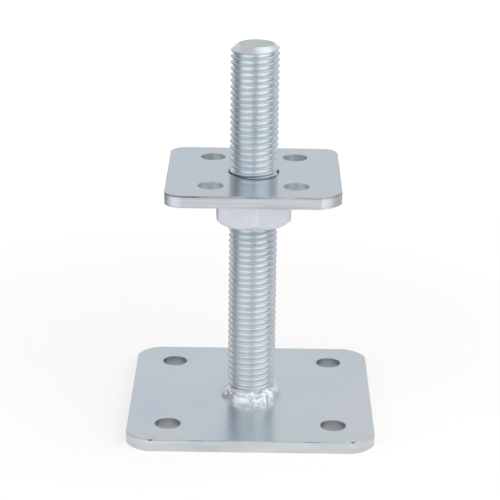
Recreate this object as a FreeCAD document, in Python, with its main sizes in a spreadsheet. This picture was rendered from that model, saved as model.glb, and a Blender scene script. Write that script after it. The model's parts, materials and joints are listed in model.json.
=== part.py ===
"""Adjustable post base: a square foot plate with a welded threaded rod, and a loose plate carried by a nut.

Millimetres. The origin is the middle of the foot plate's underside, +Z runs up the rod,
and -Y is the front.
"""
import FreeCAD, Part
import math
import os
import Sketcher

# The pieces, in the order in which they stand on the rod
PIECES = ("base_plate", "weld_bead", "threaded_rod", "hex_nut", "top_plate")

# Driving dimensions: the alias of each cell, its value and what it measures
DIMENSIONS = (
    ("base_width", 100.0, "foot plate, side of the square"),
    ("base_thickness", 5.0, "foot plate, sheet thickness"),
    ("base_corner_cut", 9.0, "foot plate, how far each corner arc starts from the corner"),
    ("base_corner_radius", 13.0, "foot plate, radius of the corner arc, which meets the sides at a kink"),
    ("base_hole_pitch", 67.0, "foot plate, anchor hole spacing both ways"),
    ("top_width", 70.0, "carried plate, side of the square"),
    ("top_thickness", 5.0, "carried plate, sheet thickness"),
    ("top_corner_cut", 6.0, "carried plate, how far each corner arc starts from the corner"),
    ("top_corner_radius", 6.0, "carried plate, radius of the corner arc, smooth with the sides"),
    ("top_hole_pitch_across", 34.0, "carried plate, screw hole spacing from left to right"),
    ("top_hole_pitch_deep", 41.0, "carried plate, screw hole spacing from front to back"),
    ("rod_hole_diameter", 20.5, "carried plate, clearance hole for the rod"),
    ("screw_hole_diameter", 10.0, "screw and anchor holes of both plates"),
    ("edge_bevel", 0.4, "bevel where the sheared rims of both plates are eased"),
    ("rod_diameter", 19.8, "rod, across the thread crests"),
    ("rod_length", 150.0, "rod, from the foot plate to its tip"),
    ("rod_tip_diameter", 14.6, "rod, flat left on the tip by its chamfer"),
    ("rod_tip_chamfer", 2.2, "rod, height of the tip chamfer"),
    ("weld_drop_count", 11.0, "weld, number of drops round the rod, each one ripple of the bead"),
    ("weld_drop_radius", 8.0, "weld, radius of one drop"),
    ("weld_ring_radius", 5.36, "weld, circle of the drops' middles"),
    ("weld_drop_sink", 1.59, "weld, how far the drops' middles lie below the foot plate's face"),
    ("nut_across_flats", 30.0, "nut, across flats"),
    ("nut_height", 16.0, "nut, height"),
    ("nut_face_diameter", 28.0, "nut, round bearing face inside the corner chamfers"),
    ("nut_chamfer_angle", 40.0, "nut, slope of the corner chamfers"),
    ("nut_running_gap", 0.05, "nut, gap all round between its bore and the rod"),
    ("nut_mouth_diameter", 21.6, "nut, countersink at each end of the bore"),
    ("nut_mouth_angle", 30.0, "nut, slope of the countersinks"),
    ("nut_angle", 32.8, "nut, turn of a corner from +X in the stored position"),
    ("nut_seat_height", 97.0, "height of the nut's upper face, where the carried plate rests"),
)

# Numbers of a sketch's own origin and axes, and of the points of a line, an arc or a circle
ORIGIN_POINT = (-1, 1)
ACROSS_AXIS = -1
UP_AXIS = -2
START = 1
END = 2
CENTRE = 3

FULL_TURN = 360
PLATE_SIDES = 4
NUT_SIDES = 6
LEVEL_TOLERANCE = 1e-6

doc = FreeCAD.newDocument("adjustable_post_base")
sheet = doc.addObject("Spreadsheet::Sheet", "sheet")
for row, (alias, value, meaning) in enumerate(DIMENSIONS, start=1):
    sheet.set(f"A{row}", alias)
    sheet.set(f"B{row}", str(value))
    sheet.setAlias(f"B{row}", alias)
    sheet.set(f"C{row}", meaning)
doc.recompute()
size = {alias: value for alias, value, meaning in DIMENSIONS}


# Helpers for bodies, sketches and the sizes that drive them

def new_body(name):
    """A body whose label names the piece and its file."""
    body = doc.addObject("PartDesign::Body", name)
    body.Label = name
    return body


def origin_feature(body, role):
    """One of the body's own origin planes or axes."""
    return next(feature for feature in body.Origin.OriginFeatures if feature.Role == role)


def new_sketch(body, name, role):
    """An empty sketch on one of the body's own origin planes."""
    sketch = body.newObject("Sketcher::SketchObject", name)
    sketch.AttachmentSupport = [(origin_feature(body, role), "")]
    sketch.MapMode = "FlatFace"
    return sketch


def new_feature(body, kind, name, sketch, **sizes):
    """A sketch-based feature whose sizes come from the sheet."""
    feature = body.newObject(kind, name)
    feature.Profile = sketch
    for prop, formula in sizes.items():
        feature.setExpression(prop, formula)
    sketch.Visibility = False
    return feature


def point(x, y):
    return FreeCAD.Vector(x, y, 0)


def drive(sketch, kind, ends, name, value, formula):
    """A named dimension of the sketch, worked out from the sheet."""
    index = sketch.addConstraint(Sketcher.Constraint(kind, *ends, value))
    sketch.renameConstraint(index, name)
    sketch.setExpression(f"Constraints.{name}", formula)


def drive_offset(sketch, axis, vertex, name, value, formula):
    """Hold a vertex at a signed distance from the sketch origin; the formula gives its size."""
    ends = ORIGIN_POINT + vertex if value > 0 else vertex + ORIGIN_POINT
    drive(sketch, f"Distance{axis}", ends, name, abs(value), formula)


def join_ends(sketch, items):
    """Close a loop of lines and arcs, each ending where the next one starts."""
    for item, following in zip(items, items[1:] + items[:1]):
        sketch.addConstraint(Sketcher.Constraint("Coincident", item, END, following, START))


def closed_lines(sketch, points):
    """A closed loop of straight lines through the points."""
    lines = [
        sketch.addGeometry(Part.LineSegment(a, b))
        for a, b in zip(points, points[1:] + points[:1])
    ]
    join_ends(sketch, lines)
    return lines


def half_section(sketch, corners):
    """A closed section in the plane through the rod's axis.

    corners: (x, z, x formula, z formula) going round, with None where the value is zero.
    """
    lines = closed_lines(sketch, [point(x, z) for x, z, across, up in corners])
    for line, (x, z, across, up) in zip(lines, corners):
        for axis, zero_axis, value, formula in (("X", UP_AXIS, x, across), ("Y", ACROSS_AXIS, z, up)):
            if formula is None:
                sketch.addConstraint(Sketcher.Constraint("PointOnObject", line, START, zero_axis))
            else:
                drive_offset(sketch, axis, (line, START), f"corner_{line}_{axis}", value, formula)


def turn_away(body, name, section):
    """Cut the section, swept once round the upright axis, and see that it did cut."""
    before = body.Shape.Volume
    cut = new_feature(body, "PartDesign::Groove", name, section)
    cut.ReferenceAxis = (section, ["V_Axis"])
    cut.Angle = FULL_TURN
    doc.recompute()
    if body.Shape.Volume >= before:
        raise RuntimeError(f"{name} removed nothing")


# Plates: a sheared square with corner arcs, bevelled rims and drilled holes

def plate_outline(sketch, plate):
    """Four sides and four corner arcs, symmetric about both axes."""
    half = size[f"{plate}_width"] / 2
    side = half - size[f"{plate}_corner_cut"]
    radius = size[f"{plate}_corner_radius"]
    chord_half = size[f"{plate}_corner_cut"] / math.sqrt(2)
    middle_to_centre = math.sqrt(radius**2 - chord_half**2)
    centre = (half + side) / 2 - middle_to_centre / math.sqrt(2)
    spread = math.asin(chord_half / radius)
    quarter = 2 * math.pi / PLATE_SIDES
    items = []
    for turn in range(PLATE_SIDES):
        spin = FreeCAD.Rotation(FreeCAD.Vector(0, 0, 1), math.degrees(quarter * turn))
        a = spin.multVec(point(-side, -half))
        b = spin.multVec(point(side, -half))
        items.append(sketch.addGeometry(Part.LineSegment(a, b)))
        corner_direction = quarter * (turn - 0.5)
        circle = Part.Circle(spin.multVec(point(centre, -centre)), FreeCAD.Vector(0, 0, 1), radius)
        arc = Part.ArcOfCircle(circle, corner_direction - spread, corner_direction + spread)
        items.append(sketch.addGeometry(arc))
    join_ends(sketch, items)
    sides = items[0::2]
    arcs = items[1::2]
    for turn, line in enumerate(sides):
        level = turn % 2 == 0
        outward = -half if turn in (0, PLATE_SIDES - 1) else half
        mirror_axis = UP_AXIS if level else ACROSS_AXIS
        sketch.addConstraint(Sketcher.Constraint("Symmetric", line, START, line, END, mirror_axis))
        drive_offset(sketch, "Y" if level else "X", (line, START), f"side_{turn}", outward,
                     f"sheet.{plate}_width / 2")
    drive(sketch, "Distance", (sides[0],), "side_length", 2 * side,
          f"sheet.{plate}_width - 2 * sheet.{plate}_corner_cut")
    drive(sketch, "Radius", (arcs[0],), "corner_radius", radius, f"sheet.{plate}_corner_radius")
    for line, arc in zip(sides[1:], arcs[1:]):
        sketch.addConstraint(Sketcher.Constraint("Equal", sides[0], line))
        sketch.addConstraint(Sketcher.Constraint("Equal", arcs[0], arc))


def rim_edges(shape):
    """Names of the edges that run round the upper and lower face of a plain plate."""
    names = []
    for number, edge in enumerate(shape.Edges, start=1):
        first, last = edge.Vertexes
        if abs(first.Z - last.Z) < LEVEL_TOLERANCE:
            names.append(f"Edge{number}")
    return names


def corner_holes(sketch, diameter, pitch_across, pitch_deep):
    """Four equal holes on a rectangle about the middle."""
    radius = size[diameter] / 2
    for across in (-1, 1):
        for deep in (-1, 1):
            x = across * size[pitch_across] / 2
            y = deep * size[pitch_deep] / 2
            hole = sketch.addGeometry(Part.Circle(point(x, y), FreeCAD.Vector(0, 0, 1), radius))
            centre = (hole, CENTRE)
            drive_offset(sketch, "X", centre, f"across_{hole}", x, f"sheet.{pitch_across} / 2")
            drive_offset(sketch, "Y", centre, f"deep_{hole}", y, f"sheet.{pitch_deep} / 2")
            drive(sketch, "Diameter", (hole,), f"bore_{hole}", 2 * radius, f"sheet.{diameter}")


def middle_hole(sketch, diameter):
    """One hole about the rod's axis."""
    hole = sketch.addGeometry(Part.Circle(point(0, 0), FreeCAD.Vector(0, 0, 1), size[diameter] / 2))
    sketch.addConstraint(Sketcher.Constraint("Coincident", hole, CENTRE, *ORIGIN_POINT))
    drive(sketch, "Diameter", (hole,), "middle_bore", size[diameter], f"sheet.{diameter}")


def bevelled_plate(body, plate):
    """The blank: the outline at its thickness, with both rims bevelled."""
    outline = new_sketch(body, f"{plate}_outline", "XY_Plane")
    plate_outline(outline, plate)
    blank = new_feature(body, "PartDesign::Pad", f"{plate}_blank", outline, Length=f"sheet.{plate}_thickness")
    doc.recompute()
    rims = body.newObject("PartDesign::Chamfer", f"{plate}_rims")
    rims.Base = (blank, rim_edges(blank.Shape))
    rims.setExpression("Size", "sheet.edge_bevel")
    doc.recompute()


def drill(body, sketch, name):
    """Cut the sketched holes right through the plate, and see that they did cut."""
    before = body.Shape.Volume
    holes = new_feature(body, "PartDesign::Pocket", name, sketch)
    holes.Type = "ThroughAll"
    holes.Reversed = True
    doc.recompute()
    if body.Shape.Volume >= before:
        raise RuntimeError(f"{name} removed nothing")


def make_base_plate():
    body = new_body("base_plate")
    bevelled_plate(body, "base")
    anchors = new_sketch(body, "anchor_holes", "XY_Plane")
    corner_holes(anchors, "screw_hole_diameter", "base_hole_pitch", "base_hole_pitch")
    drill(body, anchors, "anchor_drilling")


def make_top_plate():
    body = new_body("top_plate")
    bevelled_plate(body, "top")
    screws = new_sketch(body, "screw_holes", "XY_Plane")
    corner_holes(screws, "screw_hole_diameter", "top_hole_pitch_across", "top_hole_pitch_deep")
    middle_hole(screws, "rod_hole_diameter")
    drill(body, screws, "screw_drilling")
    body.setExpression("Placement.Base.z", "sheet.nut_seat_height")


# Rod: a bar of the thread's outside diameter, turned to a chamfered tip

def make_threaded_rod():
    body = new_body("threaded_rod")
    section = new_sketch(body, "rod_section", "XZ_Plane")
    radius = size["rod_diameter"] / 2
    tip = size["rod_tip_diameter"] / 2
    length = size["rod_length"]
    shoulder = length - size["rod_tip_chamfer"]
    half_section(section, (
        (0, 0, None, None),
        (radius, 0, "sheet.rod_diameter / 2", None),
        (radius, shoulder, "sheet.rod_diameter / 2", "sheet.rod_length - sheet.rod_tip_chamfer"),
        (tip, length, "sheet.rod_tip_diameter / 2", "sheet.rod_length"),
        (0, length, None, "sheet.rod_length"),
    ))
    bar = new_feature(body, "PartDesign::Revolution", "rod_bar", section)
    bar.ReferenceAxis = (section, ["V_Axis"])
    bar.Angle = FULL_TURN
    body.setExpression("Placement.Base.z", "sheet.base_thickness")


# Weld: a ring of overlapping drops, trimmed to a rippled fillet by the rod and the foot plate

def make_weld_bead():
    body = new_body("weld_bead")
    drop = body.newObject("PartDesign::AdditiveSphere", "weld_drop")
    # half a turn puts the sphere's seam on the side that the rod trims away
    drop.Placement.Rotation = FreeCAD.Rotation(FreeCAD.Vector(0, 0, 1), FULL_TURN / 2)
    drop.setExpression("Radius", "sheet.weld_drop_radius")
    drop.setExpression("Placement.Base.x", "sheet.weld_ring_radius")
    drop.setExpression("Placement.Base.z", "-sheet.weld_drop_sink")
    ring = body.newObject("PartDesign::PolarPattern", "weld_ring")
    ring.Originals = [drop]
    ring.Axis = (origin_feature(body, "Z_Axis"), [""])
    ring.Angle = FULL_TURN
    ring.setExpression("Occurrences", "sheet.weld_drop_count")
    body.Tip = ring
    doc.recompute()
    section = new_sketch(body, "weld_trim_section", "XZ_Plane")
    rod = size["rod_diameter"] / 2
    beyond = size["rod_diameter"]
    clear = 2 * size["weld_drop_radius"]
    half_section(section, (
        (0, -clear, None, "2 * sheet.weld_drop_radius"),
        (beyond, -clear, "sheet.rod_diameter", "2 * sheet.weld_drop_radius"),
        (beyond, 0, "sheet.rod_diameter", None),
        (rod, 0, "sheet.rod_diameter / 2", None),
        (rod, clear, "sheet.rod_diameter / 2", "2 * sheet.weld_drop_radius"),
        (0, clear, None, "2 * sheet.weld_drop_radius"),
    ))
    turn_away(body, "weld_trim", section)
    body.setExpression("Placement.Base.z", "sheet.base_thickness")


# Nut: a hexagon with corner chamfers and bore countersinks at both ends

def hexagon(sketch):
    """A regular hexagon about the origin, with one corner on the sketch's own X axis."""
    reach = size["nut_across_flats"] / math.sqrt(3)
    ring = sketch.addGeometry(Part.Circle(point(0, 0), FreeCAD.Vector(0, 0, 1), reach), True)
    sketch.addConstraint(Sketcher.Constraint("Coincident", ring, CENTRE, *ORIGIN_POINT))
    drive(sketch, "Radius", (ring,), "corner_reach", reach, "sheet.nut_across_flats / sqrt(3)")
    directions = [2 * math.pi * corner / NUT_SIDES for corner in range(NUT_SIDES)]
    corners = [point(reach * math.cos(way), reach * math.sin(way)) for way in directions]
    flats = closed_lines(sketch, corners)
    sketch.addConstraint(Sketcher.Constraint("PointOnObject", flats[0], START, ACROSS_AXIS))
    for flat in flats:
        sketch.addConstraint(Sketcher.Constraint("PointOnObject", flat, START, ring))
    for flat in flats[1:]:
        sketch.addConstraint(Sketcher.Constraint("Equal", flats[0], flat))


def turned_corner(body, name, tip, back, slope, at_top):
    """Turn away the ring between a cone and one end face of the nut.

    tip and back: (value, formula) of the radii where the cone meets the face and where the cut ends.
    slope: alias of the cone's angle to the face.
    """
    section = new_sketch(body, f"{name}_section", "XZ_Plane")
    depth = abs(back[0] - tip[0]) * math.tan(math.radians(size[slope]))
    reach = f"abs(({back[1]}) - ({tip[1]})) * tan(sheet.{slope} * 1 deg)"
    face = size["nut_height"] if at_top else 0
    floor = face - depth if at_top else depth
    face_formula = "sheet.nut_height" if at_top else None
    floor_formula = f"sheet.nut_height - {reach}" if at_top else reach
    half_section(section, (
        (tip[0], face, tip[1], face_formula),
        (back[0], face, back[1], face_formula),
        (back[0], floor, back[1], floor_formula),
    ))
    turn_away(body, f"{name}_turning", section)


def make_hex_nut():
    body = new_body("hex_nut")
    outline = new_sketch(body, "nut_outline", "XY_Plane")
    hexagon(outline)
    bore = size["rod_diameter"] / 2 + size["nut_running_gap"]
    bore_formula = "sheet.rod_diameter / 2 + sheet.nut_running_gap"
    hole = outline.addGeometry(Part.Circle(point(0, 0), FreeCAD.Vector(0, 0, 1), bore))
    outline.addConstraint(Sketcher.Constraint("Coincident", hole, CENTRE, *ORIGIN_POINT))
    drive(outline, "Radius", (hole,), "bore_radius", bore, bore_formula)
    new_feature(body, "PartDesign::Pad", "nut_blank", outline, Length="sheet.nut_height")
    doc.recompute()
    corner = (size["nut_across_flats"] / math.sqrt(3), "sheet.nut_across_flats / sqrt(3)")
    face = (size["nut_face_diameter"] / 2, "sheet.nut_face_diameter / 2")
    mouth = (size["nut_mouth_diameter"] / 2, "sheet.nut_mouth_diameter / 2")
    for end, at_top in (("lower", False), ("upper", True)):
        turned_corner(body, f"{end}_chamfer", face, corner, "nut_chamfer_angle", at_top)
        turned_corner(body, f"{end}_mouth", mouth, (bore, bore_formula), "nut_mouth_angle", at_top)
    body.setExpression("Placement.Base.z", "sheet.nut_seat_height - sheet.nut_height")
    body.setExpression("Placement.Rotation.Angle", "sheet.nut_angle")


make_base_plate()
make_weld_bead()
make_threaded_rod()
make_hex_nut()
make_top_plate()
doc.recompute()

# Every object has to be sound, and every piece one valid solid, before anything is written
for item in doc.Objects:
    if "Invalid" in item.State or "Error" in item.State:
        raise RuntimeError(f"{item.Name} is {item.State}")
for name in PIECES:
    shape = doc.getObject(name).Shape
    if shape.isNull() or not shape.isValid() or len(shape.Solids) != 1:
        raise RuntimeError(f"{name} is not one valid solid")

os.makedirs("parts", exist_ok=True)
for name in PIECES:
    shape = doc.getObject(name).Shape
    shape.exportStep(os.path.join("parts", f"{name}.step"))
    box = shape.BoundBox
    print(f"{name}: {shape.Volume:.1f} mm3, {len(shape.Faces)} faces, "
          f"x {box.XMin:.2f} to {box.XMax:.2f}, y {box.YMin:.2f} to {box.YMax:.2f}, "
          f"z {box.ZMin:.2f} to {box.ZMax:.2f}")
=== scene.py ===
"""Looks of the adjustable post base: sheared zinc plates, a true thread, a nut and a lumpy weld.

Sizes are in millimetres unless a comment says otherwise. The origin is the middle of the foot
plate's underside, +Z runs up the rod, and -Y is the front.
"""
import json
import math
import random
from typing import NamedTuple

import bmesh
import bpy
from mathutils import Matrix, Vector, geometry, noise


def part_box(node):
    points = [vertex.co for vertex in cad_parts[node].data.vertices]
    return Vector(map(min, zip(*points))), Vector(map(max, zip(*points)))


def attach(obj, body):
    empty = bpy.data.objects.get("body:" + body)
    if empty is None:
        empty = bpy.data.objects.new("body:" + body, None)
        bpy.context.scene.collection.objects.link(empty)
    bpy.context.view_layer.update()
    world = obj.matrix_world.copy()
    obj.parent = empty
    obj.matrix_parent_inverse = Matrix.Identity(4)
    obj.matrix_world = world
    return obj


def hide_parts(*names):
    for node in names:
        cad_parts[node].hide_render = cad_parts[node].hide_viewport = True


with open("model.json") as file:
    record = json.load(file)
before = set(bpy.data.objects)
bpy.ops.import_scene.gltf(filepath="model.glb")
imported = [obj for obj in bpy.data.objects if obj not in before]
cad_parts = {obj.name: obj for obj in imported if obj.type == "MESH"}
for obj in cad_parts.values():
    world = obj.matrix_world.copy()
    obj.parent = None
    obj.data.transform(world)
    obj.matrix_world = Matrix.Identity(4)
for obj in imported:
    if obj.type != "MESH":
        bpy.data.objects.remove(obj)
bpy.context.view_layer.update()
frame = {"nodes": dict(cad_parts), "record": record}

MM = 0.001
FULL_TURN = 2 * math.pi


def node_box(node):
    """Lowest and highest corner of a CAD node, in millimetres."""
    low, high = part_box(node)
    return low / MM, high / MM


# Sizes taken from the frame

MOUNT_SIZES = {mount["name"]: mount["dims"] for mount in frame["record"]["mounts"]}
COUPLING = frame["record"]["behaviour"]["couplings"][0]
THREAD_PITCH = FULL_TURN / COUPLING["ratio"] / MM
ROD_LOW, ROD_HIGH = node_box("threaded_rod")
ROD_RADIUS = ROD_HIGH.x
NUT_LOW, NUT_HIGH = node_box("hex_nut")
WELD_LOW, WELD_HIGH = node_box("weld_bead")

# Thread: an ISO coarse profile with the soft crests and roots of a rolled, plated rod

THREAD_START = -1.41         # height of a crest on the rod's right
THREAD_DEPTH = 1.38
FLANK_SLOPE = math.sqrt(3)   # fall of the radius along the axis, for flanks 60 degrees apart
CREST_LOSS = 0.42            # how far the sharp crest would stand out past the rod
CREST_SOFTNESS = 0.75
ROOT_SOFTNESS = 0.30
THREAD_CLEARANCE = 0.06      # gap between the rod and the nut
THREAD_ROWS = 14             # rows of faces to a pitch
THREAD_COLUMNS = 72
TURNS_BELOW = 2              # turns made past each end, then cut off
TURNS_ABOVE = 1
RIM_TOLERANCE = 1e-4
ROD_TIP_RADIUS = 7.3
ROD_TIP_HEIGHT = 2.05
ROD_TIP_OFFSET = 0.5         # how far the chamfer sits off the axis, to the right
ROD_CORE_RADIUS = 1          # least radius of the surface that is cut off above the tip
TIP_TOLERANCE = 0.03
THREAD_SHARP = 35            # degrees above which an edge stays sharp

# Plates: a burr below, a torn and a smooth band up the side, and a rolled upper rim


class PlateLook(NamedTuple):
    """What tells one plate's rim from another's."""
    corners: tuple  # (setback from the corner, arc radius), from the front right counter-clockwise
    roll: float     # rounding of the upper rim
    nicks: tuple    # (x, y, width, depth) of dents in the upper rim
    seed: float     # where the plate lies in the noise


BASE_LOOK = PlateLook(
    corners=((9.0, 13.0), (9.0, 13.0), (9.0, 13.0), (9.0, 13.0)),
    roll=0.32,
    nicks=((-40.0, -50.0, 0.9, 1.5), (41.0, -50.0, 0.8, 1.3)),
    seed=3.1,
)
TOP_LOOK = PlateLook(
    corners=((8.2, 14.0), (6.0, 6.5), (6.0, 6.5), (7.0, 7.0)),
    roll=0.6,
    nicks=(),
    seed=8.4,
)
OUTLINE_STEP = 0.4
CORNER_FINENESS = 1.5
ROLL_STEPS = 5
ROLL_WAVER = 0.3
ROLL_LENGTH = 6              # lengths are those of the waves along the rim
ROLL_SHIFT = 7               # shifts set one noise apart from another
RIM_STEPS = 3                # steps of the roll, from the side, that take the rim's tint with its painted line of shade
BURR = 0.28
BURR_STEPS = 3
TORN_SHARE = 0.45
TORN_WAVER = 0.16
TORN_LENGTH = 14
TORN_INSET = 0.06
TORN_LEVELS = (0.3, 0.6, 0.9)
SMOOTH_LEVELS = (0.08, 0.4, 0.7, 1.0)
SMOOTH_STREAK = 0.7
SMOOTH_SHIFT = 3
SMOOTH_MARGIN = 1.3
STREAK_DEPTH = 0.05
STREAK_LENGTH = 9.0
STREAK_RISE = 1.7
NICK_DROP = 0.5
NICK_RISE = 6
HOLDING_RING = 0.35          # level ring that keeps the shading of a rim off the flat face
HOLE_ROLL = 0.05
HOLE_ROLL_STEPS = 4
HOLE_COLUMNS = 64
ROD_HOLE_RADIUS = 10.25
PLATE_SHARP = 50

# Nut: chamfered at both ends, with corners softened by the plating

NUT_SIDES = 6
NUT_FACE_RADIUS = 14.0
NUT_CHAMFER = math.tan(math.radians(40))
NUT_MOUTH_RADIUS = 10.8
NUT_MOUTH_SLOPE = math.tan(math.radians(30))
NUT_MOUTH_MARGIN = 1
NUT_CORNER_SOFTNESS = 1.8
NUT_CORNER_STEPS = 4
NUT_FLAT_SHARES = (-1, -0.9, -0.7, -0.5, -0.3, -0.1, 0.1, 0.3, 0.5, 0.7, 0.9, 1)
NUT_EDGE_SOFTNESS = 0.45
NUT_EDGE_SHARE = 0.45        # most of a stretch that the rounding of its end may take
NUT_SHARP = 35

# Weld: a convex fillet built up from drops of uneven size

WELD_ARC_RADIUS = 8.0
WELD_ARC_MIDDLE = Vector((5.36, -1.59))
WELD_HEART = Vector((8.6, 0.0))
WELD_TOP_ANGLE = math.radians(88)
WELD_ROOT = 0.4              # how far the bead reaches in behind the thread
WELD_DROPS = 46
WELD_DROP_ANGLES = (2, 82)
WELD_DROP_SIZES = (1.6, 3.4)
WELD_DROP_SINK = (0.72, 0.9)
WELD_DROP_NEAR = 0.9         # cosine of the turn beyond which a drop isn't felt
WELD_SKIN = 0.3
WELD_SWELL = 0.3
WELD_GRAIN = 0.06
WELD_GRAIN_SCALE = 0.8
WELD_CLIMB = 0.7
WELD_CREASE = 0.3
WELD_DIP = 0.28
WELD_DIP_TURN = math.radians(165)
WELD_PINCH = 0.12            # narrowing at the sides
# (turn, angle) in degrees of the start and end of each crease between runs, then its width and depth
WELD_CREASES = (
    ((-141, 53), (-107, 38), 0.32, 0.95),
    ((-98, 80), (-94, 34), 0.85, 0.5),
    ((-83, 40), (-55, 36), 0.25, 0.4),
    ((-62, 66), (-46, 44), 0.3, 0.4),
    ((20, 60), (52, 30), 0.35, 0.5),
    ((110, 70), (128, 24), 0.4, 0.5),
    ((196, 62), (170, 34), 0.35, 0.5),
)
WELD_SEED = 11
WELD_TOE_RADIUS = 12.0
WELD_RISE = 4.5
WELD_COLUMNS = 320
WELD_ROWS = 34
WELD_SHARP = 80

# Camera: fitted to the photograph's frame, which is square

CAMERA_PLACE = (2.005, -758.525, 328.96)
CAMERA_YAW = -0.239
CAMERA_PITCH = 18.969
CAMERA_ROLL = 0.704
CAMERA_SENSOR = 36.0
CAMERA_LENS = 140.45

# Light, as shares of white, from a slightly cool studio

STUDIO_COLOUR = (0.955, 0.995, 1.05)
WHITE = (1, 1, 1, 1)
ROOM_TONE = 0.55
# The room as the metal mirrors it: factors, each setting in over a range of the direction's X, Y or Z
FRONT_WALL_TONE, BACK_WALL_TONE = 0.6, 0.7
DEPTH_RANGE = (-0.7, 0.1)
LEFT_WALL_TONE = 0.42
LEFT_WALL_RANGE = (-0.88, -0.6)
RIGHT_WALL_TONE = 0.5
RIGHT_WALL_RANGE = (0.78, 0.93)
WALL_TOP_RANGE = (0.45, 0.8)
CEILING_TONE = 0.76
CEILING_RANGE = (0.5, 0.85)
# The floor: its paper, and a lift in the camera's eye that grows with the distance from the rod
FLOOR_HALF = 3000
FLOOR_PAPER = 0.85
LIFT_TONES = (0.345, 0.65)
LIFT_RANGE = (160, 700)
# The floor as the metal mirrors it: one tone close by, further out (degrees to the right of front, tone)
FLOOR_CLOSE_TONE = 0.8
FLOOR_RANGE = (90, 200)
FLOOR_TONES = (
    (-180, 0.5), (-158, 0.28), (-132, 0.1), (-92, 0.1), (-78, 0.95), (-14, 0.93), (-6, 0.12),
    (12, 0.12), (22, 0.97), (72, 0.97), (82, 0.1), (102, 0.1), (116, 0.56), (180, 0.52),
)


class Lamp(NamedTuple):
    """A soft box that faces the object."""
    way: tuple     # direction from the object
    width: float
    height: float
    glow: float    # how bright its face is, as a share of white


LAMPS = {
    "lamp_left": Lamp(way=(-0.62, -0.63, 0.48), width=1250, height=1050, glow=0.51),
    "lamp_right": Lamp(way=(0.51, -0.72, 0.47), width=850, height=1150, glow=0.58),
    "lamp_side": Lamp(way=(0.89, -0.21, 0.41), width=550, height=860, glow=0.67),
    "lamp_above": Lamp(way=(0.30, 0.17, 0.94), width=300, height=700, glow=0.9),
}
LAMP_AIM = Vector((0, 0, 60))
LAMP_DISTANCE = 1000


# Gathering points and faces ring by ring

INSIDE_EDGES = 1
FLAT_TOLERANCE = 1e-6


class Shell:
    """Points and faces of one piece, in millimetres; each face keeps the number of its finish."""

    def __init__(self):
        self.points = []
        self.faces = []
        self.finishes = []

    def ring(self, points):
        """Add points that go round counter-clockwise, and return their numbers."""
        start = len(self.points)
        self.points.extend(Vector(point) for point in points)
        return list(range(start, len(self.points)))

    def face(self, corners, finish):
        """Add one face."""
        self.faces.append(tuple(corners))
        self.finishes.append(finish)

    def strip(self, ring, following, finishes):
        """Quads between two rings with as many points, each with its finish."""
        shifted = ring[1:] + ring[:1]
        following_shifted = following[1:] + following[:1]
        for *corners, finish in zip(ring, shifted, following_shifted, following, finishes):
            self.face(corners, finish)

    def stack(self, rings, finish=0):
        """Quads between each ring and the next."""
        for ring, following in zip(rings, rings[1:]):
            self.strip(ring, following, [finish] * len(ring))

    def flat(self, outer, holes, finish):
        """Fill the level face between an outer ring and the round rings of its holes."""
        rings = [outer, *holes]
        numbers = [number for ring in rings for number in ring]
        place = {number: i for i, number in enumerate(numbers)}
        edges = [(place[a], place[b]) for ring in rings for a, b in zip(ring, ring[1:] + ring[:1])]
        flat_points = [self.points[number].to_2d() for number in numbers]
        made = geometry.delaunay_2d_cdt(flat_points, edges, [], INSIDE_EDGES, FLAT_TOLERANCE)
        triangles, sources = made[2], made[3]
        hole_sets = [set(hole) for hole in holes]
        for triangle in triangles:
            corners = [numbers[sources[corner][0]] for corner in triangle]
            if not any(hole.issuperset(corners) for hole in hole_sets):
                self.face(corners, finish)

    def mesh(self, name, finishes, sharp_degrees):
        """A Blender mesh in metres with outward faces."""
        mesh = bpy.data.meshes.new(name)
        mesh.from_pydata([point * MM for point in self.points], [], self.faces)
        for finish in finishes:
            mesh.materials.append(finish)
        mesh.polygons.foreach_set("material_index", self.finishes)
        work = bmesh.new()
        work.from_mesh(mesh)
        bmesh.ops.recalc_face_normals(work, faces=work.faces)
        work.to_mesh(mesh)
        work.free()
        mesh.polygons.foreach_set("use_smooth", [True] * len(mesh.polygons))
        mesh.set_sharp_from_angle(angle=math.radians(sharp_degrees))
        return mesh


def stand_for(node, body, mesh):
    """Put a mesh in the scene in place of a CAD node."""
    piece = bpy.data.objects.new(mesh.name, mesh)
    bpy.context.scene.collection.objects.link(piece)
    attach(piece, body)
    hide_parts(node)


def soft_min(a, b, softness):
    """The smaller value, with the meeting of the two rounded over the given width."""
    overlap = max(softness - abs(a - b), 0) / softness
    return min(a, b) - overlap * overlap * softness / 4


def soft_max(a, b, softness):
    """The larger value, rounded in the same way."""
    return -soft_min(-a, -b, softness)


def waver(*place):
    """Smooth noise between about -1 and 1."""
    return noise.noise(Vector(place))


def on_circle(radius, turn, height):
    """The point at a turn round the rod's axis."""
    return Vector((radius * math.cos(turn), radius * math.sin(turn), height))


# Plates

# RIM: the lower steps of the rolled rim, tinted with a painted dark line of shade
FACE, EDGE, BORE, RIM = range(4)


def corner_arc(half, cut, radius, steps):
    """The arc that cuts the front right corner of a square, counter-clockwise."""
    chord_half = cut / math.sqrt(2)
    middle_to_centre = math.sqrt(radius**2 - chord_half**2)
    centre = half - cut / 2 - middle_to_centre / math.sqrt(2)
    spread = math.asin(chord_half / radius)
    turns = [-math.pi / 4 - spread + 2 * spread * i / steps for i in range(steps + 1)]
    return [Vector((centre + radius * math.cos(t), -centre + radius * math.sin(t))) for t in turns]


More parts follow.
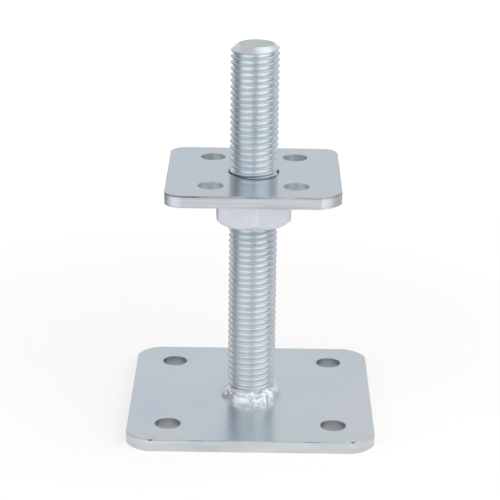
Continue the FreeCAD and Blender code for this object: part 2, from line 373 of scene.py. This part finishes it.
def plate_outline(half, corners):
    """Points round a plate, with the outward direction at each."""
    points = []
    for quarter, (cut, radius) in enumerate(corners):
        spin = Matrix.Rotation(quarter * math.pi / 2, 2)
        previous_cut = corners[quarter - 1][0]
        start = Vector((-half + previous_cut, -half))
        end = Vector((half - cut, -half))
        steps = round((end - start).length / OUTLINE_STEP)
        side = [start.lerp(end, i / steps) for i in range(1, steps)]
        arc = corner_arc(half, cut, radius, round(CORNER_FINENESS * cut / OUTLINE_STEP))
        points.extend(spin @ point for point in side + arc)
    outward = []
    for i, point in enumerate(points):
        along = (points[(i + 1) % len(points)] - points[i - 1]).normalized()
        outward.append(Vector((along.y, -along.x)))
    return points, outward


def quarter_round(steps):
    """(inset, drop) pairs round an edge of radius 1, from the level face to the wall."""
    turns = [math.pi / 2 * i / steps for i in range(steps + 1)]
    return [(1 - math.sin(turn), 1 - math.cos(turn)) for turn in turns]


def side_rings(shell, outline, outward, low, high, look):
    """Rings up the sheared side: burr, torn band, smooth band and the rolled upper edge."""
    def level(inset_at, height_at):
        ring = []
        for point, way in zip(outline, outward):
            inset, height = inset_at(point), height_at(point)
            if inset < look.roll:
                dent = nick(point) * ((height - low) / (high - low)) ** NICK_RISE
                inset += dent
                height -= NICK_DROP * dent
            place = point - way * inset
            ring.append((place.x, place.y, height))
        return shell.ring(ring)

    def nick(point):
        return sum(
            depth * math.exp(-(point - Vector((x, y))).length_squared / width**2)
            for x, y, width, depth in look.nicks
        )

    def streak(point, height):
        wave = waver(point.x / STREAK_LENGTH, point.y / STREAK_LENGTH, height * STREAK_RISE + look.seed)
        return STREAK_DEPTH * (1 + wave)

    def torn_height(point):
        wave = waver(point.x / TORN_LENGTH, point.y / TORN_LENGTH, look.seed)
        return low + (high - low) * (TORN_SHARE + TORN_WAVER * wave)

    def roll(point):
        wave = waver(point.x / ROLL_LENGTH, point.y / ROLL_LENGTH, look.seed + ROLL_SHIFT)
        return look.roll * (1 + ROLL_WAVER * wave)

    def constant(value):
        return lambda point: value

    rings = [level(constant(BURR + HOLDING_RING), constant(low))]
    for inset, drop in quarter_round(BURR_STEPS):
        rings.append(level(constant(inset * BURR + TORN_INSET), constant(low + drop * BURR)))
    for share in TORN_LEVELS:
        rings.append(level(
            lambda point, share=share: TORN_INSET + streak(point, low + share),
            lambda point, share=share: low + BURR + share * (torn_height(point) - low - BURR),
        ))
    smooth_top = high - look.roll * (1 + SMOOTH_MARGIN * ROLL_WAVER)
    for share in SMOOTH_LEVELS:
        rings.append(level(
            lambda point, share=share: streak(point, low + SMOOTH_SHIFT + share) * SMOOTH_STREAK,
            lambda point, share=share: torn_height(point) + share * (smooth_top - torn_height(point)),
        ))
    for inset, drop in reversed(quarter_round(ROLL_STEPS)):
        rings.append(level(
            lambda point, inset=inset: inset * roll(point),
            lambda point, drop=drop: high - drop * roll(point),
        ))
    rings.append(level(constant(look.roll * (1 + ROLL_WAVER) + HOLDING_RING), constant(high)))
    return rings


def hole_rings(shell, centre, radius, low, high):
    """Rings down a drilled hole with eased rims."""
    def level(reach, height):
        turns = [FULL_TURN * i / HOLE_COLUMNS for i in range(HOLE_COLUMNS)]
        return shell.ring([
            (centre[0] + reach * math.cos(turn), centre[1] + reach * math.sin(turn), height)
            for turn in turns
        ])

    rings = [level(radius + HOLE_ROLL + HOLDING_RING, high)]
    for inset, drop in quarter_round(HOLE_ROLL_STEPS):
        rings.append(level(radius + inset * HOLE_ROLL, high - drop * HOLE_ROLL))
    for inset, drop in reversed(quarter_round(BURR_STEPS)):
        rings.append(level(radius + inset * BURR, low + drop * BURR))
    rings.append(level(radius + BURR + HOLDING_RING, low))
    return rings


def corner_hole_places(mount):
    """Centres and radius of the four holes of a bolt pattern."""
    sizes = MOUNT_SIZES[mount]
    across = sizes["spacing_x_mm"] / 2
    deep = sizes["spacing_y_mm"] / 2
    return [(x, y, sizes["hole_r_mm"]) for x in (-across, across) for y in (-deep, deep)]


def plate_mesh(name, node, look, holes, finishes):
    """A drilled plate with sheared sides, in the box of its CAD node."""
    low, high = node_box(node)
    shell = Shell()
    outline, outward = plate_outline(high.x, look.corners)
    sides = side_rings(shell, outline, outward, low.z, high.z, look)
    roll_rings, face_rings = ROLL_STEPS + 1, 1
    rim_start = len(sides) - roll_rings - face_rings
    rim_end = rim_start + RIM_STEPS
    shell.stack(sides[:rim_start + 1], EDGE)
    shell.stack(sides[rim_start:rim_end + 1], RIM)
    shell.stack(sides[rim_end:], FACE)
    bores = [hole_rings(shell, (x, y), radius, low.z, high.z) for x, y, radius in holes]
    for rings in bores:
        shell.stack(rings, BORE)
    shell.flat(sides[-1], [rings[0] for rings in bores], FACE)
    shell.flat(sides[0], [rings[-1] for rings in bores], FACE)
    return shell.mesh(name, finishes, PLATE_SHARP)


# Thread

THREAD, TIP, END = range(3)


def thread_radius(phase, crest_radius):
    """Radius of the thread at a share of the pitch, with a crest at 0."""
    from_crest = abs(phase - round(phase)) * THREAD_PITCH
    flank = crest_radius + CREST_LOSS - from_crest * FLANK_SLOPE
    root = crest_radius - THREAD_DEPTH
    return soft_max(soft_min(flank, crest_radius, CREST_SOFTNESS), root, ROOT_SOFTNESS)


def thread_surface(radius_at, low, high):
    """A bmesh of a right-hand helical surface between two heights.

    radius_at takes the phase, as a number of pitches, the turn and the height.
    """
    work = bmesh.new()
    first = math.floor((low - THREAD_START) / THREAD_PITCH) - TURNS_BELOW
    last = math.ceil((high - THREAD_START) / THREAD_PITCH) + TURNS_ABOVE
    rows = range(first * THREAD_ROWS, last * THREAD_ROWS)
    columns = []
    for column in range(THREAD_COLUMNS):
        share = column / THREAD_COLUMNS
        verts = {}
        for row in rows:
            height = THREAD_START + THREAD_PITCH * (row / THREAD_ROWS + share)
            radius = radius_at(row / THREAD_ROWS, FULL_TURN * share, height)
            verts[row] = work.verts.new(on_circle(radius, FULL_TURN * share, height))
        columns.append(verts)
    for column, verts in enumerate(columns):
        wraps = column == THREAD_COLUMNS - 1
        beside = columns[0 if wraps else column + 1]
        shift = THREAD_ROWS if wraps else 0
        for row in rows:
            corners = (row, row + shift, row + shift + 1, row + 1)
            if corners[2] in beside and corners[3] in verts:
                work.faces.new((verts[row], beside[corners[1]], beside[corners[2]], verts[corners[3]]))
    for height, way in ((low, -1), (high, 1)):
        everything = work.verts[:] + work.edges[:] + work.faces[:]
        bmesh.ops.bisect_plane(
            work, geom=everything, plane_co=(0, 0, height), plane_no=(0, 0, way), clear_outer=True
        )
    return work


def rim_loop(work, height):
    """The open rim of a thread surface at one height, in counter-clockwise order."""
    verts = {
        vert for edge in work.edges if edge.is_boundary for vert in edge.verts
        if abs(vert.co.z - height) < RIM_TOLERANCE
    }
    return sorted(verts, key=lambda vert: math.atan2(vert.co.y, vert.co.x))


def take_bmesh(shell, work, finish_at):
    """Move a bmesh into a shell; returns the shell number of each vertex."""
    work.verts.index_update()
    start = len(shell.points)
    shell.points.extend(vert.co.copy() for vert in work.verts)
    for face in work.faces:
        shell.face([start + vert.index for vert in face.verts], finish_at(face))
    return {vert: start + vert.index for vert in work.verts}


def rod_mesh(name, finishes):
    """The threaded rod with its chamfered tip."""
    low, high = ROD_LOW.z, ROD_HIGH.z

    def tip_radius(turn, height):
        flare = (ROD_RADIUS - ROD_TIP_RADIUS) / ROD_TIP_HEIGHT
        radius = ROD_TIP_RADIUS + (high - height) * flare + ROD_TIP_OFFSET * math.cos(turn)
        return max(radius, ROD_CORE_RADIUS)

    def radius_at(phase, turn, height):
        return min(thread_radius(phase, ROD_RADIUS), tip_radius(turn, height))

    def on_tip(vert):
        turn = math.atan2(vert.co.y, vert.co.x)
        return vert.co.to_2d().length > tip_radius(turn, vert.co.z) - TIP_TOLERANCE

    def finish_at(face):
        return TIP if all(on_tip(vert) for vert in face.verts) else THREAD

    work = thread_surface(radius_at, low, high)
    shell = Shell()
    numbers = take_bmesh(shell, work, finish_at)
    for height in (low, high):
        shell.flat([numbers[vert] for vert in rim_loop(work, height)], [], END)
    work.free()
    return shell.mesh(name, finishes, THREAD_SHARP)


# Nut

# NUT_CORNER: finish of the softened corners, a paler tint that paints a highlight
NUT_FLAT, NUT_CORNER = range(2)


def nut_outline(across_flats, corner_turn):
    """(turn, radius, whether the next stretch is a corner) round a hexagon with softened corners."""
    flat = across_flats / 2
    half_side = flat / math.sqrt(3)
    arc_centre = half_side - NUT_CORNER_SOFTNESS / math.sqrt(3)
    outline = []
    for side in range(NUT_SIDES):
        facing = corner_turn + (side + 0.5) * FULL_TURN / NUT_SIDES
        for share in NUT_FLAT_SHARES:
            along = share * arc_centre
            at_corner = share == NUT_FLAT_SHARES[-1]
            outline.append((facing + math.atan2(along, flat), math.hypot(along, flat), at_corner))
        for step in range(1, NUT_CORNER_STEPS):
            swing = FULL_TURN / NUT_SIDES * step / NUT_CORNER_STEPS
            x = flat - NUT_CORNER_SOFTNESS + NUT_CORNER_SOFTNESS * math.cos(swing)
            y = arc_centre + NUT_CORNER_SOFTNESS * math.sin(swing)
            outline.append((facing + math.atan2(y, x), math.hypot(x, y), True))
    return outline


def eased(before, corner, after):
    """Three points that round one corner of a section."""
    def back_from(end):
        stretch = end - corner
        return corner + stretch.normalized() * min(NUT_EDGE_SOFTNESS, stretch.length * NUT_EDGE_SHARE)

    first, last = back_from(before), back_from(after)
    return [first, (first + corner * 2 + last) / 4, last]


def nut_section(reach):
    """(radius, height) points up one side of the nut, from the lower bearing face to the upper one."""
    low, high = NUT_LOW.z, NUT_HIGH.z
    fall = (reach - NUT_FACE_RADIUS) * NUT_CHAMFER
    inner = NUT_MOUTH_RADIUS + NUT_MOUTH_MARGIN
    corners = [
        Vector((inner, low)),
        Vector((NUT_FACE_RADIUS, low)),
        Vector((reach, low + fall)),
        Vector((reach, high - fall)),
        Vector((NUT_FACE_RADIUS, high)),
        Vector((inner, high)),
    ]
    section = [corners[0]]
    for before, corner, after in zip(corners, corners[1:], corners[2:]):
        section.extend(eased(before, corner, after))
    section.append(corners[-1])
    return section


def nut_mesh(name, finishes):
    """The hex nut with its threaded bore, turned as its CAD node is."""
    node = frame["nodes"]["hex_nut"]
    corner = max((vert.co for vert in node.data.vertices), key=lambda co: co.to_2d().length) / MM
    across_flats = corner.to_2d().length * math.sqrt(3)
    outline = nut_outline(across_flats, math.atan2(corner.y, corner.x))
    low, high = NUT_LOW.z, NUT_HIGH.z
    shell = Shell()
    sections = [(turn, nut_section(reach)) for turn, reach, at_corner in outline]
    levels = len(sections[0][1])
    rings = [
        shell.ring([on_circle(section[level].x, turn, section[level].y) for turn, section in sections])
        for level in range(levels)
    ]
    # the corners take the paler finish: a painted highlight
    corner_finishes = [NUT_CORNER if at_corner else NUT_FLAT for turn, reach, at_corner in outline]
    for ring, following in zip(rings, rings[1:]):
        shell.strip(ring, following, corner_finishes)

    def radius_at(phase, turn, height):
        nearest_end = min(height - low, high - height)
        mouth = NUT_MOUTH_RADIUS - max(nearest_end, 0) / NUT_MOUTH_SLOPE
        return max(thread_radius(phase, ROD_RADIUS) + THREAD_CLEARANCE, mouth)

    work = thread_surface(radius_at, low, high)
    numbers = take_bmesh(shell, work, lambda face: NUT_FLAT)
    lower_rim = [numbers[vert] for vert in rim_loop(work, low)]
    upper_rim = [numbers[vert] for vert in rim_loop(work, high)]
    work.free()
    shell.flat(rings[0], [lower_rim], NUT_FLAT)
    shell.flat(rings[-1], [upper_rim], NUT_FLAT)
    return shell.mesh(name, finishes, NUT_SHARP)


# Weld

def weld_section(angle):
    """Distance from the heart of the bead to its even surface, at an angle above the plate."""
    way = Vector((math.cos(angle), math.sin(angle)))
    back = WELD_ARC_MIDDLE - WELD_HEART
    along = way.dot(back)
    return along + math.sqrt(along**2 - back.length_squared + WELD_ARC_RADIUS**2)


def weld_drops():
    """(turn, middle, size) of the drops that make the bead lumpy."""
    draw = random.Random(WELD_SEED)
    drops = []
    for number in range(WELD_DROPS):
        turn = FULL_TURN * (number + draw.random()) / WELD_DROPS
        angle = math.radians(draw.uniform(*WELD_DROP_ANGLES))
        size = draw.uniform(*WELD_DROP_SIZES)
        reach = weld_section(angle) - size * draw.uniform(*WELD_DROP_SINK)
        middle = on_circle(WELD_HEART.x + reach * math.cos(angle), turn, reach * math.sin(angle))
        drops.append((turn, middle, size))
    return drops


def crease_distance(turn, angle, start, end):
    """How far a place on the bead lies from a crease, measured over the surface."""
    def unrolled(turn, angle):
        return Vector((turn * WELD_TOE_RADIUS, angle * WELD_RISE))

    first = unrolled(*(math.radians(degrees) for degrees in start))
    last = unrolled(*(math.radians(degrees) for degrees in end))
    nearest_turn = turn - FULL_TURN * round((turn - math.radians(start[0])) / FULL_TURN)
    here = unrolled(nearest_turn, angle)
    share = (here - first).dot(last - first) / (last - first).length_squared
    return (here - first.lerp(last, min(max(share, 0), 1))).length


def weld_reach(turn, angle, drops):
    """Distance from the heart of the bead to its lumpy surface."""
    heart = on_circle(WELD_HEART.x, turn, WELD_HEART.y)
    way = on_circle(math.cos(angle), turn, math.sin(angle))
    even = weld_section(angle)
    reach = even - WELD_SKIN
    for drop_turn, middle, size in drops:
        if math.cos(turn - drop_turn) < WELD_DROP_NEAR:
            continue
        back = middle - heart
        along = way.dot(back)
        inside = along**2 - back.length_squared + size**2
        if inside > 0:
            reach = soft_max(reach, along + math.sqrt(inside), WELD_CREASE)
    for start, end, width, depth in WELD_CREASES:
        reach -= depth * math.exp(-(crease_distance(turn, angle, start, end) / width) ** 2)
    spot = (heart + way * even) * WELD_GRAIN_SCALE
    return min(reach + WELD_GRAIN * waver(*spot), even + WELD_SWELL)


def weld_mesh(name, finishes):
    """The bead all round the rod, closed below and behind the thread."""
    floor = WELD_LOW.z
    inner = ROD_RADIUS - THREAD_DEPTH - WELD_ROOT
    drops = weld_drops()
    shell = Shell()
    rings = []
    turns = [FULL_TURN * i / WELD_COLUMNS for i in range(WELD_COLUMNS)]
    for row in range(WELD_ROWS):
        angle = WELD_TOP_ANGLE * row / (WELD_ROWS - 1)
        ring = []
        for turn in turns:
            reach = weld_reach(turn, angle, drops) * (1 - WELD_PINCH * math.cos(turn) ** 2)
            radius = min(WELD_HEART.x + reach * math.cos(angle), WELD_HIGH.x)
            rise = 1 - WELD_DIP * max(math.cos(turn - WELD_DIP_TURN), 0)
            crown = WELD_HIGH.z + (WELD_CLIMB if radius < ROD_RADIUS else 0)
            height = min(floor + reach * math.sin(angle) * rise, crown)
            ring.append(on_circle(radius, turn, height))
        rings.append(shell.ring(ring))
    rings.append(shell.ring([on_circle(inner, turn, floor) for turn in turns]))
    shell.stack(rings + rings[:1])
    return shell.mesh(name, finishes, WELD_SHARP)


# Nodes

def add_node(tree, kind, **values):
    """A node with its named inputs set."""
    node = tree.nodes.new(kind)
    for name, value in values.items():
        node.inputs[name.replace("_", " ")].default_value = value
    return node


def math_node(tree, operation, *inputs):
    """The output of a math node on sockets or numbers."""
    node = tree.nodes.new("ShaderNodeMath")
    node.operation = operation
    for socket, value in zip(node.inputs, inputs):
        if isinstance(value, (int, float)):
            socket.default_value = value
        else:
            tree.links.new(value, socket)
    return node.outputs[0]


def ranged(tree, value, span, ends):
    """A value carried from one range to another, held at both ends."""
    node = add_node(
        tree, "ShaderNodeMapRange", From_Min=span[0], From_Max=span[1], To_Min=ends[0], To_Max=ends[1]
    )
    tree.links.new(value, node.inputs["Value"])
    return node.outputs["Result"]


def place_axes(tree, kind):
    """X, Y and Z of the shaded point, by one of the outputs of a texture coordinate node."""
    place = add_node(tree, "ShaderNodeTexCoord")
    axes = add_node(tree, "ShaderNodeSeparateXYZ")
    tree.links.new(place.outputs[kind], axes.inputs["Vector"])
    return axes.outputs["X"], axes.outputs["Y"], axes.outputs["Z"]


def off_axis(tree, x, y):
    """Distance of the shaded point from the rod's axis."""
    squares = [math_node(tree, "MULTIPLY", value, value) for value in (x, y)]
    return math_node(tree, "SQRT", math_node(tree, "ADD", *squares))


# Finishes

class Zinc(NamedTuple):
    """How the plating looks in one place."""
    tints: tuple       # colours as they look on screen, 0 to 255
    mottle: float      # size of the drifts of tint
    roughness: tuple   # lowest and highest
    grain: float       # size of the grain in gloss and relief
    depth: float       # height of the relief
    stretch: tuple = (1, 1, 1)
    # whether the thread's crests get painted shade
    crest_shaded: bool = False


ZINC = {
    # The foot plate's faces are tinted a little paler than the carried plate's: painted light that evens
    # out the shade the carried plate casts on them
    "base_face": Zinc(
        tints=((220, 226, 235), (224, 231, 230), (229, 231, 234)),
        mottle=30.0, roughness=(0.21, 0.26), grain=1.6, depth=0.0015,
    ),
    "top_face": Zinc(
        tints=((214, 221, 233), (218, 226, 229), (223, 226, 232)),
        mottle=30.0, roughness=(0.18, 0.23), grain=1.6, depth=0.0015,
    ),
    "base_edge": Zinc(
        tints=((214, 217, 216), (227, 228, 226), (236, 236, 234)),
        mottle=9.0, roughness=(0.45, 0.6), grain=2.4, depth=0.04, stretch=(0.35, 0.35, 2),
    ),
    "top_edge": Zinc(
        tints=((213, 215, 216), (234, 235, 234), (247, 247, 247)),
        mottle=7.0, roughness=(0.45, 0.6), grain=2.4, depth=0.05, stretch=(0.15, 0.15, 5),
    ),
    # The rims' darkest tints paint a broken dark line of shade under the rolled upper edge
    "base_rim_shade": Zinc(
        tints=((131, 131, 133), (205, 204, 203), (209, 207, 205), (217, 213, 212)),
        mottle=6.0, roughness=(0.34, 0.5), grain=1.2, depth=0.02, stretch=(0.4, 0.4, 1),
    ),
    "top_rim_shade": Zinc(
        tints=((114, 113, 115), (141, 138, 139), (194, 191, 190), (231, 227, 224)),
        mottle=6.0, roughness=(0.34, 0.5), grain=1.2, depth=0.02, stretch=(0.4, 0.4, 1),
    ),
    # The foot plate's bores are tinted far darker than the carried plate's: painted shade in holes the
    # floor closes from below
    "base_bore": Zinc(
        tints=((158, 162, 164), (171, 175, 176), (181, 183, 183)),
        mottle=4.0, roughness=(0.4, 0.5), grain=0.8, depth=0.02, stretch=(1, 1, 0.3),
    ),
    "top_bore": Zinc(
        tints=((199, 206, 208), (210, 215, 216), (218, 221, 222)),
        mottle=4.0, roughness=(0.46, 0.56), grain=0.8, depth=0.02, stretch=(1, 1, 0.3),
    ),
    "thread": Zinc(
        tints=((236, 242, 245), (243, 248, 250), (248, 251, 254)),
        mottle=9.0, roughness=(0.31, 0.36), grain=1.4, depth=0.003, crest_shaded=True,
    ),
    "rod_tip": Zinc(
        tints=((239, 239, 239), (243, 243, 242), (246, 246, 244)),
        mottle=5.0, roughness=(0.33, 0.4), grain=0.9, depth=0.004,
    ),
    "rod_end": Zinc(
        tints=((209, 212, 209), (219, 222, 218), (229, 231, 227)),
        mottle=4.0, roughness=(0.34, 0.45), grain=0.5, depth=0.03,
    ),
    "nut": Zinc(
        tints=((239, 239, 241), (244, 243, 245), (247, 246, 247)),
        mottle=7.0, roughness=(0.55, 0.66), grain=0.9, depth=0.008,
    ),
    # A paler copy of the nut's tint on its softened corners: a painted highlight
    "nut_corner_highlight": Zinc(
        tints=((244, 247, 248), (248, 250, 250), (250, 252, 250)),
        mottle=5.0, roughness=(0.55, 0.66), grain=0.9, depth=0.008,
    ),
    "weld": Zinc(
        tints=((232, 235, 237), (242, 244, 245), (250, 252, 252)),
        mottle=2.0, roughness=(0.29, 0.39), grain=0.9, depth=0.004,
    ),
}
CREST_SHADE = 0.75           # share of the tint left on the thread's crests: painted shade for the darker room they mirror
NOISE_RANGE = (0.3, 0.7)     # where most of a noise's values lie
DRIFT_DETAIL = 3.0
DRIFT_ROUGHNESS = 0.55
GRAIN_DETAIL = 5.0
GRAIN_ROUGHNESS = 0.6


def linear(red, green, blue):
    """A colour given as it looks on screen, 0 to 255, in linear values by the sRGB formula."""
    def channel(value):
        share = value / 255
        return share / 12.92 if share <= 0.04045 else ((share + 0.055) / 1.055) ** 2.4
    return (channel(red), channel(green), channel(blue), 1.0)


def painted_crest_shade(tree, tint):
    """A tint darkened from the thread's root to its crest: painted shade for the darker room the crests
    mirror.
    """
    x, y = place_axes(tree, "Object")[:2]
    span = ((ROD_RADIUS - THREAD_DEPTH) * MM, ROD_RADIUS * MM)
    painted_shade = tree.nodes.new("ShaderNodeVectorMath")
    painted_shade.operation = "SCALE"
    tree.links.new(tint, painted_shade.inputs["Vector"])
    tree.links.new(ranged(tree, off_axis(tree, x, y), span, (1.0, CREST_SHADE)), painted_shade.inputs["Scale"])
    return painted_shade.outputs["Vector"]


def zinc(name, look):
    """A material of zinc plating: soft drifts of tint, a fine grain in gloss and relief."""
    finish = bpy.data.materials.new(name)
    finish.use_nodes = True
    tree = finish.node_tree
    tree.nodes.clear()
    link = tree.links.new
    output = add_node(tree, "ShaderNodeOutputMaterial")
    shader = add_node(tree, "ShaderNodeBsdfPrincipled", Metallic=1.0)
    link(shader.outputs["BSDF"], output.inputs["Surface"])
    place = add_node(tree, "ShaderNodeTexCoord")
    mapping = add_node(tree, "ShaderNodeMapping", Scale=look.stretch)
    link(place.outputs["Object"], mapping.inputs["Vector"])

    def stretched_noise(size, detail, roughness):
        scale = 1 / (size * MM)
        node = add_node(tree, "ShaderNodeTexNoise", Scale=scale, Detail=detail, Roughness=roughness)
        link(mapping.outputs["Vector"], node.inputs["Vector"])
        return node.outputs["Fac"]

    ramp = tree.nodes.new("ShaderNodeValToRGB")
    elements = ramp.color_ramp.elements
    while len(elements) < len(look.tints):
        elements.new(1.0)
    low, high = NOISE_RANGE
    for i, (element, tint) in enumerate(zip(elements, look.tints)):
        element.position = low + (high - low) * i / (len(look.tints) - 1)
        element.color = linear(*tint)
    link(stretched_noise(look.mottle, DRIFT_DETAIL, DRIFT_ROUGHNESS), ramp.inputs["Fac"])
    tint = ramp.outputs["Color"]
    # painted shade on the thread's crests
    if look.crest_shaded:
        tint = painted_crest_shade(tree, tint)
    link(tint, shader.inputs["Base Color"])
    grain = stretched_noise(look.grain, GRAIN_DETAIL, GRAIN_ROUGHNESS)
    link(ranged(tree, grain, NOISE_RANGE, look.roughness), shader.inputs["Roughness"])
    relief = add_node(tree, "ShaderNodeBump", Strength=1.0, Distance=look.depth * MM)
    link(grain, relief.inputs["Height"])
    link(relief.outputs["Normal"], shader.inputs["Normal"])
    return finish


# Stage, lamps and camera

def by_ray(tree, plain, mirrored, seen):
    """Three shaders: for rays that light, for those sent on by metal or glass, for the camera's."""
    rays = add_node(tree, "ShaderNodeLightPath").outputs
    sent_on = math_node(tree, "MAXIMUM", rays["Is Glossy Ray"], rays["Is Transmission Ray"])
    shader = plain
    for choice, other in ((sent_on, mirrored), (rays["Is Camera Ray"], seen)):
        mix = add_node(tree, "ShaderNodeMixShader")
        tree.links.new(choice, mix.inputs["Fac"])
        tree.links.new(shader.outputs[0], mix.inputs[1])
        tree.links.new(other.outputs[0], mix.inputs[2])
        shader = mix
    return shader


def floor_tone(tree, x, y):
    """How bright the metal sees the floor: pale close by, in broad sectors further out."""
    ramp = tree.nodes.new("ShaderNodeValToRGB")
    elements = ramp.color_ramp.elements
    while len(elements) < len(FLOOR_TONES):
        elements.new(1.0)
    for element, (degrees, tone) in zip(elements, FLOOR_TONES):
        element.position = degrees / 360 + 0.5
        element.color = (tone, tone, tone, 1)
    direction = math_node(tree, "ARCTAN2", x, math_node(tree, "MULTIPLY", y, -1.0))
    tree.links.new(ranged(tree, direction, (-math.pi, math.pi), (0.0, 1.0)), ramp.inputs["Fac"])
    far = ranged(tree, off_axis(tree, x, y), [end * MM for end in FLOOR_RANGE], (0.0, 1.0))
    lost = math_node(tree, "SUBTRACT", FLOOR_CLOSE_TONE, ramp.outputs["Color"])
    return math_node(tree, "SUBTRACT", FLOOR_CLOSE_TONE, math_node(tree, "MULTIPLY", far, lost))


def make_floor():
    """A wide sheet of pale paper that takes the object's shadow."""
    half = FLOOR_HALF * MM
    corners = [(-half, -half, 0), (half, -half, 0), (half, half, 0), (-half, half, 0)]
    mesh = bpy.data.meshes.new("floor")
    mesh.from_pydata(corners, [], [range(len(corners))])
    floor = bpy.data.objects.new("floor", mesh)
    bpy.context.scene.collection.objects.link(floor)
    finish = bpy.data.materials.new("floor")
    finish.use_nodes = True
    finish.cycles.emission_sampling = "NONE"
    tree = finish.node_tree
    tree.nodes.clear()
    link = tree.links.new
    output = add_node(tree, "ShaderNodeOutputMaterial")
    paper_colour = [FLOOR_PAPER / share for share in STUDIO_COLOUR]
    paper = add_node(tree, "ShaderNodeBsdfDiffuse", Color=(*paper_colour, 1))
    x, y = place_axes(tree, "Object")[:2]
    lift = add_node(tree, "ShaderNodeEmission", Color=WHITE)
    lift_span = [end * MM for end in LIFT_RANGE]
    link(ranged(tree, off_axis(tree, x, y), lift_span, LIFT_TONES), lift.inputs["Strength"])
    seen = add_node(tree, "ShaderNodeAddShader")
    link(paper.outputs[0], seen.inputs[0])
    link(lift.outputs[0], seen.inputs[1])
    mirrored = add_node(tree, "ShaderNodeEmission", Color=(*STUDIO_COLOUR, 1))
    link(floor_tone(tree, x, y), mirrored.inputs["Strength"])
    link(by_ray(tree, paper, mirrored, seen).outputs[0], output.inputs["Surface"])
    mesh.materials.append(finish)


def room_tone(tree):
    """How bright the metal sees the room: palest behind, dimmer above and at the sides."""
    x, y, z = place_axes(tree, "Generated")
    depth = ranged(tree, y, DEPTH_RANGE, (FRONT_WALL_TONE, BACK_WALL_TONE))
    left = ranged(tree, x, LEFT_WALL_RANGE, (LEFT_WALL_TONE, 1.0))
    right = ranged(tree, x, RIGHT_WALL_RANGE, (1.0, RIGHT_WALL_TONE))
    above_walls = ranged(tree, z, WALL_TOP_RANGE, (0.0, 1.0))
    sides = math_node(tree, "MAXIMUM", above_walls, math_node(tree, "MULTIPLY", left, right))
    ceiling = ranged(tree, z, CEILING_RANGE, (1.0, CEILING_TONE))
    return math_node(tree, "MULTIPLY", ceiling, math_node(tree, "MULTIPLY", sides, depth))


def make_world():
    """The studio: even light, its mirrored walls, and a white backdrop for the camera."""
    world = bpy.data.worlds.new("studio")
    bpy.context.scene.world = world
    world.use_nodes = True
    world.cycles.sampling_method = "NONE"
    tree = world.node_tree
    tree.nodes.clear()
    link = tree.links.new
    output = add_node(tree, "ShaderNodeOutputWorld")
    room = add_node(tree, "ShaderNodeBackground", Color=(*STUDIO_COLOUR, 1), Strength=ROOM_TONE)
    mirrored = add_node(tree, "ShaderNodeBackground", Color=(*STUDIO_COLOUR, 1))
    link(room_tone(tree), mirrored.inputs["Strength"])
    backdrop = add_node(tree, "ShaderNodeBackground", Color=WHITE, Strength=1.0)
    link(by_ray(tree, room, mirrored, backdrop).outputs[0], output.inputs["Surface"])


def make_lamp(name, look):
    """An area light with an evenly bright face."""
    data = bpy.data.lights.new(name, "AREA")
    data.shape = "RECTANGLE"
    data.color = STUDIO_COLOUR
    data.size = look.width * MM
    data.size_y = look.height * MM
    data.energy = look.glow * math.pi * data.size * data.size_y
    lamp = bpy.data.objects.new(name, data)
    bpy.context.scene.collection.objects.link(lamp)
    lamp.visible_camera = False
    out = Vector(look.way).normalized()
    lamp.location = (LAMP_AIM + out * LAMP_DISTANCE) * MM
    lamp.rotation_euler = (-out).to_track_quat("-Z", "Y").to_euler()


def make_camera():
    """The camera where the photograph was taken from."""
    yaw, pitch, roll = (math.radians(angle) for angle in (CAMERA_YAW, CAMERA_PITCH, CAMERA_ROLL))
    ahead = Vector((math.sin(yaw), math.cos(yaw), 0))
    forward = ahead * math.cos(pitch) - Vector((0, 0, math.sin(pitch)))
    right = Vector((math.cos(yaw), -math.sin(yaw), 0))
    up = right.cross(forward)
    rolled_right = right * math.cos(roll) + up * math.sin(roll)
    rolled_up = up * math.cos(roll) - right * math.sin(roll)
    data = bpy.data.cameras.new("camera")
    data.sensor_width = CAMERA_SENSOR
    data.lens = CAMERA_LENS
    camera = bpy.data.objects.new("camera", data)
    bpy.context.scene.collection.objects.link(camera)
    turn = Matrix((rolled_right, rolled_up, -forward)).transposed()
    camera.matrix_world = Matrix.Translation(Vector(CAMERA_PLACE) * MM) @ turn.to_4x4()
    bpy.context.scene.camera = camera


def dress():
    """Put the five pieces in place of their CAD nodes."""
    finish = {name: zinc(f"zinc_{name}", look) for name, look in ZINC.items()}
    stand_for("base_plate", "foot", plate_mesh(
        "foot_plate_sheared", "base_plate", BASE_LOOK, corner_hole_places("anchor_holes"),
        (finish["base_face"], finish["base_edge"], finish["base_bore"], finish["base_rim_shade"]),
    ))
    stand_for("top_plate", "head", plate_mesh(
        "carried_plate_sheared", "top_plate", TOP_LOOK,
        corner_hole_places("post_screw_holes") + [(0, 0, ROD_HOLE_RADIUS)],
        (finish["top_face"], finish["top_edge"], finish["top_bore"], finish["top_rim_shade"]),
    ))
    stand_for("threaded_rod", "foot", rod_mesh(
        "rod_thread", (finish["thread"], finish["rod_tip"], finish["rod_end"]),
    ))
    stand_for("hex_nut", "nut", nut_mesh(
        "nut_threaded", (finish["nut"], finish["nut_corner_highlight"]),
    ))
    stand_for("weld_bead", "foot", weld_mesh("weld_rippled", (finish["weld"],)))


dress()
make_floor()
make_world()
for lamp_name, lamp_look in LAMPS.items():
    make_lamp(lamp_name, lamp_look)
make_camera()
bpy.context.scene.view_settings.view_transform = "Standard"
